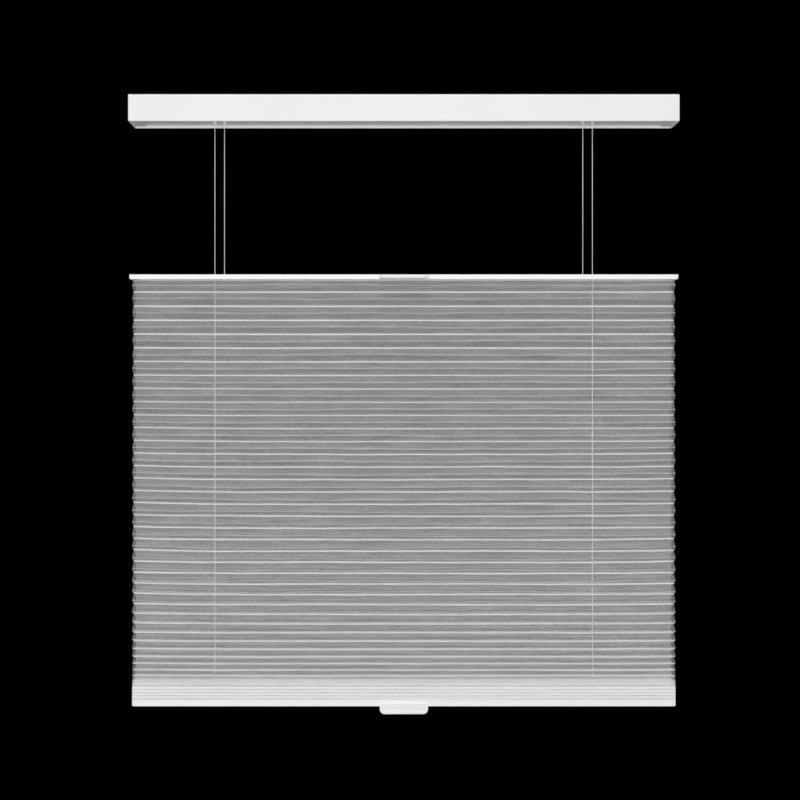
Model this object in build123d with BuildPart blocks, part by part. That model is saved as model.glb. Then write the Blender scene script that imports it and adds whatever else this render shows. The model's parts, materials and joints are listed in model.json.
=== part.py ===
from build123d import *
import os
from math import acos, asin, atan2, cos, degrees, hypot, sin, sqrt, tan

# A cordless top-down bottom-up pleated blind with honeycomb fabric, all sizes in millimetres.
# The origin is the middle of the headrail's top, X runs to the right, Y to the back and Z up.
# The middle rail and the bottom rail each hang on two lift cords from a spring motor of their own.

# Headrail
BLIND_WIDTH = 800.0  # over the end caps
HEADRAIL_HEIGHT = 39.0
HEADRAIL_DEPTH = 45.0
HEADRAIL_WALL = 1.3
HEADRAIL_LIP = 5.0  # how far each top lip reaches in from its wall
HEADRAIL_CORNER = 1.0
FLOOR_RECESS = 4.0  # the floor stands this far above the lower edges
CAP_PLATE = 3.0
CAP_PLUG_LENGTH = 12.0
CAP_PLUG_WALL = 2.0
CAP_PAD_LENGTH = 14.0
CAP_PAD_HEIGHT = 1.4  # of the pad that lies along the underside of the floor
CAP_ROUND = 0.8

# Middle rail and bottom rail
MID_RAIL_DROP = 261.2  # from the headrail's top to the middle rail's top
MID_RAIL_HEIGHT = 6.8
BOTTOM_RAIL_DROP = 878.0
BOTTOM_RAIL_HEIGHT = 10.0
MID_RAIL_INSET = 1.5  # at each end, from the headrail's end
BOTTOM_RAIL_INSET = 5.5
RAIL_DEPTH = 26.0
RAIL_WALL = 1.1
RAIL_CORNER = 0.8
RAIL_BEAD_HEIGHT = 1.6  # the proud band along each rail's lower edge
RAIL_BEAD_DEPTH = 0.5
RAIL_SLOT = 12.0  # the fabric goes through this slot
RAIL_CAP_PLATE = 4.0
RAIL_PLUG_LENGTH = 10.0
STRIP_WIDTH = 20.0
STRIP_THICKNESS = 1.2

# Fabric
FABRIC_INSET = 6.0  # at each end, from the headrail's end
CELL_COUNT = 41
FABRIC_THICKNESS = 0.3
GLUE_WIDTH = 6.0  # depth of the glued joint between two cells
FACET_LENGTH = 13.05  # fabric from a joint to a ridge
RIDGE_REACH_LIMIT = 11.0  # a slack cell bows before its ridge reaches further
FIRST_CELL = 17.6
OPEN_PITCH = 20.8
STACK_PITCH = 4.6
STACK_CELLS = 4  # cells that lie fully stacked on the bottom rail
EVEN_SAG = 0.4  # the part of the pitch's fall that is even along the way down
SAG_POWER = 4.5  # how late the rest of it comes
RIDGE_DROOP = 0.34  # how far the lowest ridge hangs below mid-cell, as a share of the cell
DROOP_POWER = 1.5  # how late the droop grows on the way down
FABRIC_GAP = 0.3

# Cords
CORD_DIAMETER = 0.9
CORD_INSET = 124.0  # from the headrail's end to the bottom rail's cord
CORD_SPACING = 14.0  # between the two cords at one end
CORD_PLANE = 14.0  # the cords and the fabric's middle, behind the headrail's front
CORD_HOLE = 3.0
KNOT_RADIUS = 1.0
KNOT_SEAT = 0.9  # from its anchor's underside to the knot's middle

# Cord guides
ROLLER_RADIUS = 4.8
ROLLER_FLANGE = 6.5
ROLLER_WIDTH = 6.0
ROLLER_GROOVE = 4.2
ROLLER_SEAT = 0.2  # from the groove's floor to the cord
MID_ROLLER_RISE = 9.7  # of each roller's axis above the headrail's floor
BOTTOM_ROLLER_RISE = 23.25
GUIDE_BASE = 1.6
GUIDE_CHEEK = 1.6
GUIDE_TOP_RISE = 28.0
GUIDE_END_MARGIN = 8.0
ROLLER_PIN = 2.0  # diameter
BUSH_BODY = 6.0
BUSH_FLANGE = 9.0
BUSH_FLANGE_HEIGHT = 1.5
BUSH_TIP = 5.6
BUSH_TAPER = 0.8  # how much the tip narrows on each side
BUSH_LENGTH = 4.9  # how far the bush stands out below the floor
BUSH_BORE = 2.4

# Spring motors
MOTOR_X = 130.0  # from the blind's middle to each motor's middle
MOTOR_LENGTH = 68.0
MOTOR_PLATE = 1.8
MOTOR_CHAMBER = 17.6  # between the base and the cover
AXIS_Y = 8.5  # the spools' axes, behind the headrail's middle
AXIS_SPACING = 28.0
SPOOL_CORD_RADIUS = 10.0  # to the middle of the cord
SPOOL_FLANGE = 12.0
SPOOL_CORE = 9.0
SPOOL_RIM = 1.0
GROOVE_HEIGHT = 3.0
WOUND_INSIDE = 0.3  # from the groove's floor to the wound cord
WOUND_THICKNESS = 1.3
WOUND_HEIGHT = 2.2
DRUM_CORE = 7.5
STORAGE_CORE = 4.5
STORAGE_FLANGE = 12.2
DRUM_RIM = 0.8
RIBBON_THICKNESS = 0.25
DRUM_COIL_RADIUS = 9.5
STORAGE_COIL_RADIUS = 11.0
AXLE_DIAMETER = 3.0
POST_SIZE = 5.0
POST_MARGIN = 3.0
COVER_ROUND = 0.45
SCREW_DIAMETER = 2.0
SCREW_LENGTH = 8.0
SCREW_HEAD = 3.8
SCREW_HEAD_HEIGHT = 1.2
SCREW_SLOT = 0.6

# Cord anchors and grommets
ANCHOR_DIAMETER = 7.0
MID_ANCHOR_HEIGHT = 1.2
BOTTOM_ANCHOR_HEIGHT = 2.0
ANCHOR_BORE = 1.6
GROMMET_FLANGE = 7.0
GROMMET_FLANGE_HEIGHT = 0.8
GROMMET_BODY = 4.8
GROMMET_TAIL = 0.6

# Handles
HANDLE_WIDTH = 70.0
HANDLE_CORNER = 7.3
HANDLE_THICKNESS = 4.6
HANDLE_PLATE = 2.0
HANDLE_RIM = 2.2
HANDLE_ROUND = 0.8
BOTTOM_HANDLE_LENGTH = 13.9
BOTTOM_HANDLE_LAP = 3.5  # how far it covers the bottom rail's front
MID_HANDLE_LENGTH = 15.0
MID_HANDLE_DROP = 2.1  # below the middle rail's top
HANDLE_PIN = 2.4
HANDLE_PIN_SPACING = 44.0

# Clearances
LOOSE_FIT = 0.15
RUNNING_FIT = 0.08
PIN_FIT = 0.05

# Levels and places worked out from the sizes above
LEFT = -1
RIGHT = 1
INNER_HALF = HEADRAIL_DEPTH / 2 - HEADRAIL_WALL
CHAMBER_TOP = -HEADRAIL_WALL
FLOOR_BOTTOM = FLOOR_RECESS - HEADRAIL_HEIGHT
FLOOR_TOP = FLOOR_BOTTOM + HEADRAIL_WALL
CORD_Y = CORD_PLANE - HEADRAIL_DEPTH / 2
RAIL_FRONT = CORD_Y - RAIL_DEPTH / 2
MID_TOP = -MID_RAIL_DROP
MID_BOTTOM = MID_TOP - MID_RAIL_HEIGHT
BOTTOM_TOP = -BOTTOM_RAIL_DROP
BOTTOM_BOTTOM = BOTTOM_TOP - BOTTOM_RAIL_HEIGHT
HEADRAIL_LENGTH = BLIND_WIDTH - 2 * CAP_PLATE
MID_RAIL_WIDTH = BLIND_WIDTH - 2 * MID_RAIL_INSET
BOTTOM_RAIL_WIDTH = BLIND_WIDTH - 2 * BOTTOM_RAIL_INSET
FABRIC_WIDTH = BLIND_WIDTH - 2 * FABRIC_INSET
STRIP_LENGTH_LOSS = RAIL_CAP_PLATE + RAIL_PLUG_LENGTH + LOOSE_FIT
MID_STRIP_TOP = MID_BOTTOM + RAIL_WALL + STRIP_THICKNESS
BOTTOM_STRIP_BOTTOM = BOTTOM_TOP - RAIL_WALL - STRIP_THICKNESS
BOTTOM_CORD_X = BLIND_WIDTH / 2 - CORD_INSET
MID_CORD_X = BOTTOM_CORD_X - CORD_SPACING
CORD_RADIUS = CORD_DIAMETER / 2
ROLLER_CORD_RADIUS = ROLLER_RADIUS + CORD_RADIUS + ROLLER_SEAT
MID_ROLLER_Z = FLOOR_TOP + MID_ROLLER_RISE
BOTTOM_ROLLER_Z = FLOOR_TOP + BOTTOM_ROLLER_RISE
MOTOR_FLOOR = FLOOR_TOP + MOTOR_PLATE
MOTOR_CEILING = MOTOR_FLOOR + MOTOR_CHAMBER
COVER_TOP = MOTOR_CEILING + MOTOR_PLATE
SPOOL_TOP = MOTOR_CEILING - 2 * LOOSE_FIT
SPOOL_BOTTOM = MOTOR_FLOOR + 2 * LOOSE_FIT
UPPER_GROOVE_Z = SPOOL_TOP - SPOOL_RIM - GROOVE_HEIGHT / 2
LOWER_GROOVE_Z = UPPER_GROOVE_Z - SPOOL_RIM - GROOVE_HEIGHT
DRUM_TOP = LOWER_GROOVE_Z - GROOVE_HEIGHT / 2 - SPOOL_RIM
DRUM_BOTTOM = SPOOL_BOTTOM + DRUM_RIM
RIBBON_MARGIN = 2 * LOOSE_FIT
MOTOR_WIDTH = 2 * (INNER_HALF - 2 * LOOSE_FIT)
DRUM_X = MOTOR_X - AXIS_SPACING / 2
STORAGE_X = MOTOR_X + AXIS_SPACING / 2
SIDES = {"left": LEFT, "right": RIGHT}

os.makedirs("parts", exist_ok=True)


def save(piece, name):
    piece.part.label = name
    export_step(piece.part, f"parts/{name}.step")


def turned(outline, centre, turning_axis):
    """A solid of revolution: outline is (radius, distance along the axis), turned about an upright
    axis or about one that runs front to back."""
    facing = Vector(0, -1, 0) if turning_axis == Axis.Z else Vector(0, 0, 1)
    with BuildPart() as piece:
        with BuildSketch(Plane(origin=centre, x_dir=(1, 0, 0), z_dir=facing)):
            with BuildLine():
                Polyline(*outline, close=True)
            make_face()
        revolve(axis=Axis(centre, turning_axis.direction))
    return piece


def tube_outline(outer, bore, low, high):
    return [(bore, low), (outer, low), (outer, high), (bore, high)]


# Headrail


def headrail_profile():
    with BuildPart() as profile:
        with BuildSketch(Plane.YZ):
            with Locations((0, -HEADRAIL_HEIGHT / 2)):
                RectangleRounded(HEADRAIL_DEPTH, HEADRAIL_HEIGHT, HEADRAIL_CORNER)
            with Locations((0, CHAMBER_TOP)):
                hang = (Align.CENTER, Align.MAX)
                Rectangle(2 * INNER_HALF, CHAMBER_TOP - FLOOR_TOP, align=hang, mode=Mode.SUBTRACT)
            with Locations((0, 0)):
                opening = 2 * (INNER_HALF - HEADRAIL_LIP)
                Rectangle(opening, HEADRAIL_WALL, align=hang, mode=Mode.SUBTRACT)
            with Locations((0, FLOOR_BOTTOM)):
                Rectangle(2 * INNER_HALF, FLOOR_RECESS, align=hang, mode=Mode.SUBTRACT)
        extrude(amount=HEADRAIL_LENGTH / 2, both=True)
        exits = [(side * x, CORD_Y) for side in (LEFT, RIGHT) for x in (MID_CORD_X, BOTTOM_CORD_X)]
        with BuildSketch(Plane.XY.offset(FLOOR_TOP)):
            with Locations(*exits):
                Circle(BUSH_BODY / 2 + PIN_FIT)
        extrude(amount=-HEADRAIL_WALL, mode=Mode.SUBTRACT)
    return profile


def headrail_cap(side):
    """A plate with a frame that plugs the chamber and a pad that lies along the floor's underside."""
    chamber_height = CHAMBER_TOP - FLOOR_TOP - 2 * LOOSE_FIT
    chamber_middle = (CHAMBER_TOP + FLOOR_TOP) / 2
    plug_width = 2 * (INNER_HALF - LOOSE_FIT)
    face = Plane.YZ.offset(side * HEADRAIL_LENGTH / 2)
    with BuildPart() as cap:
        with BuildSketch(face):
            with Locations((0, -HEADRAIL_HEIGHT / 2)):
                RectangleRounded(HEADRAIL_DEPTH, HEADRAIL_HEIGHT, HEADRAIL_CORNER)
        extrude(amount=side * CAP_PLATE)
        outer_face = cap.faces().sort_by(Axis.X)[-1 if side > 0 else 0]
        fillet(outer_face.edges(), CAP_ROUND)
        with BuildSketch(face):
            with Locations((0, chamber_middle)):
                Rectangle(plug_width, chamber_height)
                inside_width = plug_width - 2 * CAP_PLUG_WALL
                inside_height = chamber_height - 2 * CAP_PLUG_WALL
                Rectangle(inside_width, inside_height, mode=Mode.SUBTRACT)
        extrude(amount=-side * CAP_PLUG_LENGTH)
        with BuildSketch(face):
            with Locations((0, FLOOR_BOTTOM - LOOSE_FIT)):
                Rectangle(plug_width, CAP_PAD_HEIGHT, align=(Align.CENTER, Align.MAX))
        extrude(amount=-side * CAP_PAD_LENGTH)
    return cap


def cord_bush(x):
    """A collar through the floor: its flange and tip show below, its body stands in the guide."""
    bore = BUSH_BORE / 2
    body = BUSH_BODY / 2
    flange_low = FLOOR_BOTTOM - BUSH_FLANGE_HEIGHT
    outline = [
        (bore, FLOOR_BOTTOM - BUSH_LENGTH),
        (BUSH_TIP / 2 - BUSH_TAPER, FLOOR_BOTTOM - BUSH_LENGTH),
        (BUSH_TIP / 2, flange_low),
        (BUSH_FLANGE / 2, flange_low),
        (BUSH_FLANGE / 2, FLOOR_BOTTOM),
        (body, FLOOR_BOTTOM),
        (body, FLOOR_TOP + GUIDE_BASE),
        (bore, FLOOR_TOP + GUIDE_BASE),
    ]
    return turned(outline, (x, CORD_Y, 0), Axis.Z)


# Cord guides: two rollers between the cheeks of a bracket on the headrail's floor


def roller_centre(side, cord_x, z):
    return (side * (cord_x - ROLLER_CORD_RADIUS), CORD_Y, z)


def guide_rollers(side):
    """The centres of the middle rail's roller and of the bottom rail's roller."""
    mid = roller_centre(side, MID_CORD_X, MID_ROLLER_Z)
    bottom = roller_centre(side, BOTTOM_CORD_X, BOTTOM_ROLLER_Z)
    return mid, bottom


def cord_guide(side):
    inner_end = MID_CORD_X - ROLLER_CORD_RADIUS - GUIDE_END_MARGIN
    outer_end = BOTTOM_CORD_X + GUIDE_END_MARGIN
    length = outer_end - inner_end
    middle = side * (inner_end + outer_end) / 2
    inside = ROLLER_WIDTH / 2 + 2 * LOOSE_FIT
    width = 2 * (inside + GUIDE_CHEEK)
    with BuildPart() as guide:
        with BuildSketch(Plane.XY.offset(FLOOR_TOP)):
            with Locations((middle, CORD_Y)):
                Rectangle(length, width)
        extrude(amount=GUIDE_BASE)
        for cheek_side in (-1, 1):
            cheek_face = Plane.XZ.offset(-(CORD_Y + cheek_side * inside))
            low_x = side * inner_end
            high_x = side * outer_end
            step_x = side * (BOTTOM_CORD_X - ROLLER_CORD_RADIUS - GUIDE_END_MARGIN)
            with BuildSketch(cheek_face):
                with BuildLine():
                    Polyline(
                        (low_x, FLOOR_TOP),
                        (high_x, FLOOR_TOP),
                        (high_x, FLOOR_TOP + GUIDE_TOP_RISE),
                        (step_x, FLOOR_TOP + GUIDE_TOP_RISE),
                        (low_x, MID_ROLLER_Z + ROLLER_FLANGE),
                        close=True,
                    )
                make_face()
            extrude(amount=-cheek_side * GUIDE_CHEEK)
        for centre in guide_rollers(side):
            with Locations(Location(centre, (90, 0, 0))):
                hole = ROLLER_PIN / 2 + PIN_FIT
                Cylinder(hole, 2 * width, mode=Mode.SUBTRACT)
        with BuildSketch(Plane.XY.offset(FLOOR_TOP)):
            with Locations((side * MID_CORD_X, CORD_Y), (side * BOTTOM_CORD_X, CORD_Y)):
                Circle(BUSH_BODY / 2 + PIN_FIT)
        extrude(amount=GUIDE_BASE, mode=Mode.SUBTRACT)
    return guide


def guide_pins():
    """The four roller pins, one through each roller and both cheeks of its guide."""
    half = ROLLER_WIDTH / 2 + 2 * LOOSE_FIT + GUIDE_CHEEK
    with BuildPart() as pins:
        for side in (LEFT, RIGHT):
            for centre in guide_rollers(side):
                with Locations(Location(centre, (90, 0, 0))):
                    Cylinder(ROLLER_PIN / 2, 2 * half)
    return pins


def roller(centre):
    bore = ROLLER_PIN / 2 + RUNNING_FIT
    half = ROLLER_WIDTH / 2
    groove = ROLLER_GROOVE / 2
    outline = [
        (bore, -half),
        (ROLLER_FLANGE, -half),
        (ROLLER_RADIUS, -groove),
        (ROLLER_RADIUS, groove),
        (ROLLER_FLANGE, half),
        (bore, half),
    ]
    return turned(outline, centre, Axis.Y)


# Spring motors: the middle rail's is on the right, the bottom rail's on the left


def post_places(side):
    """Where the base's four posts stand, clear of the cords that pass."""
    inner = side * (MOTOR_X - MOTOR_LENGTH / 2 + POST_MARGIN)
    outer = side * (MOTOR_X + MOTOR_LENGTH / 2 - POST_MARGIN)
    front = -MOTOR_WIDTH / 2 + POST_MARGIN
    back = MOTOR_WIDTH / 2 - POST_MARGIN
    return [(inner, front), (inner, AXIS_Y), (outer, front), (outer, back)]


def axle_places(side):
    return [(side * DRUM_X, AXIS_Y), (side * STORAGE_X, AXIS_Y)]


def motor_base(side):
    with BuildPart() as base:
        with BuildSketch(Plane.XY.offset(FLOOR_TOP)):
            with Locations((side * MOTOR_X, 0)):
                RectangleRounded(MOTOR_LENGTH, MOTOR_WIDTH, POST_SIZE / 2)
        extrude(amount=MOTOR_PLATE)
        with BuildSketch(Plane.XY.offset(MOTOR_FLOOR)):
            with Locations(*post_places(side)):
                RectangleRounded(POST_SIZE, POST_SIZE, HEADRAIL_CORNER)
        extrude(amount=MOTOR_CHAMBER)
        with BuildSketch(Plane.XY.offset(MOTOR_CEILING)):
            with Locations(*post_places(side)):
                Circle(SCREW_DIAMETER / 2 + PIN_FIT)
        extrude(amount=-SCREW_LENGTH, mode=Mode.SUBTRACT)
        with BuildSketch(Plane.XY.offset(FLOOR_TOP)):
            with Locations(*axle_places(side)):
                Circle(AXLE_DIAMETER / 2 + PIN_FIT)
        extrude(amount=MOTOR_PLATE, mode=Mode.SUBTRACT)
    return base


def motor_cover(side):
    with BuildPart() as cover:
        with BuildSketch(Plane.XY.offset(MOTOR_CEILING)):
            with Locations((side * MOTOR_X, 0)):
                RectangleRounded(MOTOR_LENGTH, MOTOR_WIDTH, POST_SIZE / 2)
            with Locations(*post_places(side)):
                Circle(SCREW_DIAMETER / 2 + PIN_FIT, mode=Mode.SUBTRACT)
            with Locations(*axle_places(side)):
                Circle(AXLE_DIAMETER / 2 + PIN_FIT, mode=Mode.SUBTRACT)
        extrude(amount=MOTOR_PLATE)
        fillet(cover.faces().sort_by(Axis.Z)[-1].outer_wire().edges(), COVER_ROUND)
    return cover


def motor_screws(side):
    with BuildPart() as screws:
        with BuildSketch(Plane.XY.offset(COVER_TOP)):
            with Locations(*post_places(side)):
                Circle(SCREW_HEAD / 2)
        extrude(amount=SCREW_HEAD_HEIGHT)
        with BuildSketch(Plane.XY.offset(COVER_TOP)):
            with Locations(*post_places(side)):
                Circle(SCREW_DIAMETER / 2)
        extrude(amount=-(SCREW_LENGTH + MOTOR_PLATE - LOOSE_FIT))
        with BuildSketch(Plane.XY.offset(COVER_TOP + SCREW_HEAD_HEIGHT)):
            with Locations(*post_places(side)):
                Rectangle(SCREW_HEAD, SCREW_SLOT)
                Rectangle(SCREW_SLOT, SCREW_HEAD)
        extrude(amount=-SCREW_HEAD_HEIGHT / 2, mode=Mode.SUBTRACT)
    return screws


def motor_axles(side):
    with BuildPart() as axles:
        with BuildSketch(Plane.XY.offset(FLOOR_TOP)):
            with Locations(*axle_places(side)):
                Circle(AXLE_DIAMETER / 2)
        extrude(amount=COVER_TOP - FLOOR_TOP)
    return axles


def cord_rotor(side):
    """The spool with a groove for each of the two cords, over the drum that the spring winds on."""
    bore = AXLE_DIAMETER / 2 + RUNNING_FIT
    outline = [(bore, SPOOL_TOP), (SPOOL_FLANGE, SPOOL_TOP)]
    for groove_z in (UPPER_GROOVE_Z, LOWER_GROOVE_Z):
        outline += [
            (SPOOL_FLANGE, groove_z + GROOVE_HEIGHT / 2),
            (SPOOL_CORE, groove_z + GROOVE_HEIGHT / 2),
            (SPOOL_CORE, groove_z - GROOVE_HEIGHT / 2),
            (SPOOL_FLANGE, groove_z - GROOVE_HEIGHT / 2),
        ]
    outline += [
        (SPOOL_FLANGE, DRUM_TOP),
        (DRUM_CORE, DRUM_TOP),
        (DRUM_CORE, DRUM_BOTTOM),
        (SPOOL_FLANGE, DRUM_BOTTOM),
        (SPOOL_FLANGE, SPOOL_BOTTOM),
        (bore, SPOOL_BOTTOM),
    ]
    return turned(outline, (side * DRUM_X, AXIS_Y, 0), Axis.Z)


def storage_spool(side):
    bore = AXLE_DIAMETER / 2 + RUNNING_FIT
    outline = [
        (bore, SPOOL_BOTTOM),
        (STORAGE_FLANGE, SPOOL_BOTTOM),
        (STORAGE_FLANGE, DRUM_BOTTOM),
        (STORAGE_CORE, DRUM_BOTTOM),
        (STORAGE_CORE, DRUM_TOP),
        (STORAGE_FLANGE, DRUM_TOP),
        (STORAGE_FLANGE, DRUM_TOP + DRUM_RIM),
        (bore, DRUM_TOP + DRUM_RIM),
    ]
    return turned(outline, (side * STORAGE_X, AXIS_Y, 0), Axis.Z)


def ribbon_spring(side):
    """The coil on the storage spool, the coil on the drum and the ribbon that crosses between."""
    drum = Vector(side * DRUM_X, AXIS_Y)
    storage = Vector(side * STORAGE_X, AXIS_Y)
    along = (drum - storage).normalized()
    across = Vector(-along.Y, along.X)
    drum_radius = DRUM_COIL_RADIUS - RIBBON_THICKNESS / 2
    storage_radius = STORAGE_COIL_RADIUS - RIBBON_THICKNESS / 2
    lean = acos((drum_radius + storage_radius) / AXIS_SPACING)
    towards = along * cos(lean) + across * (side * sin(lean))
    leaves = storage + towards * storage_radius
    lands = drum - towards * drum_radius
    ribbon = lands - leaves
    with BuildPart() as spring:
        with BuildSketch(Plane.XY.offset(DRUM_BOTTOM + RIBBON_MARGIN)):
            with Locations((drum.X, drum.Y)):
                Circle(DRUM_COIL_RADIUS)
                Circle(DRUM_CORE + RIBBON_MARGIN, mode=Mode.SUBTRACT)
            with Locations((storage.X, storage.Y)):
                Circle(STORAGE_COIL_RADIUS)
                Circle(STORAGE_CORE + RIBBON_MARGIN, mode=Mode.SUBTRACT)
            with Locations(((leaves.X + lands.X) / 2, (leaves.Y + lands.Y) / 2)):
                turn = degrees(atan2(ribbon.Y, ribbon.X))
                Rectangle(ribbon.length, RIBBON_THICKNESS, rotation=turn)
        extrude(amount=DRUM_TOP - DRUM_BOTTOM - 2 * RIBBON_MARGIN)
    return spring


# Lift cords


def cord_route(side, drum_x, groove_z, cord_x, roller_z, end_z):
    """From the spool's rim, tangent to it, over the guide roller and straight down to the knot."""
    drop_x = side * cord_x
    reach_x = drop_x - drum_x
    reach_y = CORD_Y - AXIS_Y
    leave = atan2(reach_y, reach_x) + acos(SPOOL_CORD_RADIUS / hypot(reach_x, reach_y))
    start_x = drum_x + SPOOL_CORD_RADIUS * cos(leave)
    start_y = AXIS_Y + SPOOL_CORD_RADIUS * sin(leave)
    run = hypot(drop_x - start_x, CORD_Y - start_y)
    to_roller = run - ROLLER_CORD_RADIUS
    rise = roller_z - groove_z
    slope = atan2(rise, to_roller) + asin(ROLLER_CORD_RADIUS / hypot(to_roller, rise))
    start = Vector(start_x, start_y, groove_z)
    corner = Vector(drop_x, CORD_Y, groove_z + run * tan(slope))
    end = Vector(drop_x, CORD_Y, end_z)
    return start, corner, end


def lift_cord(side, drum_side, groove_z, cord_x, roller_z, end_z):
    """One cord with its turns on the spool and the knot at its end."""
    drum_x = drum_side * DRUM_X
    start, corner, end = cord_route(side, drum_x, groove_z, cord_x, roller_z, end_z)
    with BuildPart() as cord:
        with BuildLine() as route:
            FilletPolyline(start, corner, end, radius=ROLLER_CORD_RADIUS)
        with BuildSketch(Plane(origin=start, z_dir=corner - start)):
            Circle(CORD_RADIUS)
        sweep(path=route.line)
        wound = SPOOL_CORE + WOUND_INSIDE
        with BuildSketch(Plane.XY.offset(groove_z - WOUND_HEIGHT / 2)):
            with Locations((drum_x, AXIS_Y)):
                Circle(wound + WOUND_THICKNESS)
                Circle(wound, mode=Mode.SUBTRACT)
        extrude(amount=WOUND_HEIGHT)
        with Locations(end):
            Sphere(KNOT_RADIUS)
    length = sum(edge.length for edge in route.edges())
    print(f"cord at x {side * cord_x:.0f}: {length:.0f} mm from spool to knot")
    return cord


# Middle rail and bottom rail: one section, with the fabric's slot below or above


def rail_section(height, slot_edge):
    """Sketches the section with its top at 0; slot_edge is the level of the slotted wall's outside."""
    hang = (Align.CENTER, Align.MAX)
    with Locations((CORD_Y, 0)):
        Rectangle(RAIL_DEPTH - 2 * RAIL_BEAD_DEPTH, height, align=hang)
    with Locations((CORD_Y, RAIL_BEAD_HEIGHT - height)):
        Rectangle(RAIL_DEPTH, RAIL_BEAD_HEIGHT, align=hang)
    with Locations((CORD_Y, -RAIL_WALL)):
        inside = RAIL_DEPTH - 2 * RAIL_BEAD_DEPTH - 2 * RAIL_WALL
        Rectangle(inside, height - 2 * RAIL_WALL, align=hang, mode=Mode.SUBTRACT)
    with Locations((CORD_Y, slot_edge)):
        Rectangle(RAIL_SLOT, RAIL_WALL, align=hang, mode=Mode.SUBTRACT)


def rail_profile(width, top, height, slot_edge, web_holes, pin_z):
    """web_holes is a list of (x, radius) through the middle rail's top wall."""
    length = width - 2 * RAIL_CAP_PLATE
    with BuildPart() as profile:
        with BuildSketch(Plane(origin=(0, 0, top), x_dir=(0, 1, 0), z_dir=(1, 0, 0))):
            rail_section(height, slot_edge)
        extrude(amount=length / 2, both=True)
        top_edges = profile.faces().filter_by(Axis.Z).group_by(Axis.Z)[-1].edges()
        outer_edges = top_edges.filter_by(Axis.X).group_by(Axis.Y)
        fillet(outer_edges[0] + outer_edges[-1], RAIL_CORNER)
        for x, radius in web_holes:
            with BuildSketch(Plane.XY.offset(top)):
                with Locations((-x, CORD_Y), (x, CORD_Y)):
                    Circle(radius)
            extrude(amount=-RAIL_WALL, mode=Mode.SUBTRACT)
        with BuildSketch(Plane.XZ.offset(-RAIL_FRONT)):
            with Locations((-HANDLE_PIN_SPACING / 2, pin_z), (HANDLE_PIN_SPACING / 2, pin_z)):
                Circle(HANDLE_PIN / 2 + PIN_FIT)
        extrude(amount=-(RAIL_BEAD_DEPTH + RAIL_WALL + PIN_FIT), mode=Mode.SUBTRACT)
    return profile


def rail_cap(side, width, top, height):
    inside_width = RAIL_DEPTH - 2 * RAIL_BEAD_DEPTH - 2 * RAIL_WALL - 2 * LOOSE_FIT
    inside_height = height - 2 * RAIL_WALL - 2 * LOOSE_FIT
    face = Plane(origin=(side * (width / 2 - RAIL_CAP_PLATE), CORD_Y, top), x_dir=(0, 1, 0), z_dir=(1, 0, 0))
    with BuildPart() as cap:
        with BuildSketch(face):
            with Locations((0, -height / 2)):
                RectangleRounded(RAIL_DEPTH, height, RAIL_CORNER)
        extrude(amount=side * RAIL_CAP_PLATE)
        outer_face = cap.faces().sort_by(Axis.X)[-1 if side > 0 else 0]
        fillet(outer_face.edges(), CAP_ROUND)
        with BuildSketch(face):
            with Locations((0, -height / 2)):
                Rectangle(inside_width, inside_height)
        extrude(amount=-side * RAIL_PLUG_LENGTH)
    return cap


def fabric_strip(width, low, hole_xs):
    with BuildPart() as strip:
        with BuildSketch(Plane.XY.offset(low)):
            with Locations((0, CORD_Y)):
                Rectangle(width - 2 * STRIP_LENGTH_LOSS, STRIP_WIDTH)
            with Locations(*[(side * x, CORD_Y) for side in (LEFT, RIGHT) for x in hole_xs]):
                Circle(CORD_HOLE / 2, mode=Mode.SUBTRACT)
        extrude(amount=STRIP_THICKNESS)
    return strip


def mid_grommet(x):
    outline = [
        (ANCHOR_BORE / 2 + 2 * LOOSE_FIT, MID_TOP + GROMMET_FLANGE_HEIGHT),
        (GROMMET_FLANGE / 2, MID_TOP + GROMMET_FLANGE_HEIGHT),
        (GROMMET_FLANGE / 2, MID_TOP),
        (GROMMET_BODY / 2, MID_TOP),
        (GROMMET_BODY / 2, MID_TOP - RAIL_WALL - GROMMET_TAIL),
        (ANCHOR_BORE / 2 + 2 * LOOSE_FIT, MID_TOP - RAIL_WALL - GROMMET_TAIL),
    ]
    return turned(outline, (x, CORD_Y, 0), Axis.Z)


def cord_anchor(x, top, height):
    outline = tube_outline(ANCHOR_DIAMETER / 2, ANCHOR_BORE / 2, top - height, top)
    return turned(outline, (x, CORD_Y, 0), Axis.Z)


def handle_grip(face, length, free_end):
    """A dished grip with large corners at its free end; free_end is 1 or -1 along the face's own y."""
    half = HANDLE_WIDTH / 2
    far = free_end * length
    corners = [(-half, 0), (-half, far), (half, far), (half, 0)]
    with BuildPart() as grip:
        with BuildSketch(face) as outer:
            with BuildLine():
                Polyline(*corners, close=True)
            make_face()
            fillet(outer.vertices().group_by(Axis.Y)[-1 if free_end > 0 else 0], HANDLE_CORNER)
        extrude(amount=HANDLE_THICKNESS)
        far_face = grip.faces().sort_by(Axis(face.origin, face.z_dir))[-1]
        fillet(far_face.edges(), HANDLE_ROUND)
        with BuildSketch(face.offset(HANDLE_PLATE)) as dish:
            with BuildLine():
                Polyline(*corners, close=True)
            make_face()
            fillet(dish.vertices().group_by(Axis.Y)[-1 if free_end > 0 else 0], HANDLE_CORNER)
            offset(amount=-HANDLE_RIM, mode=Mode.REPLACE)
        extrude(amount=HANDLE_THICKNESS, mode=Mode.SUBTRACT)
    return grip


def with_pins(grip, pin_z):
    """The grip with its two moulded pins, which press into the rail's front wall."""
    with BuildPart() as handle:
        add(grip.part)
        with BuildSketch(Plane.XZ.offset(-RAIL_FRONT)):
            with Locations((-HANDLE_PIN_SPACING / 2, pin_z), (HANDLE_PIN_SPACING / 2, pin_z)):
                Circle(HANDLE_PIN / 2)
        extrude(amount=-(RAIL_BEAD_DEPTH + RAIL_WALL))
    return handle


# Fabric


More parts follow.
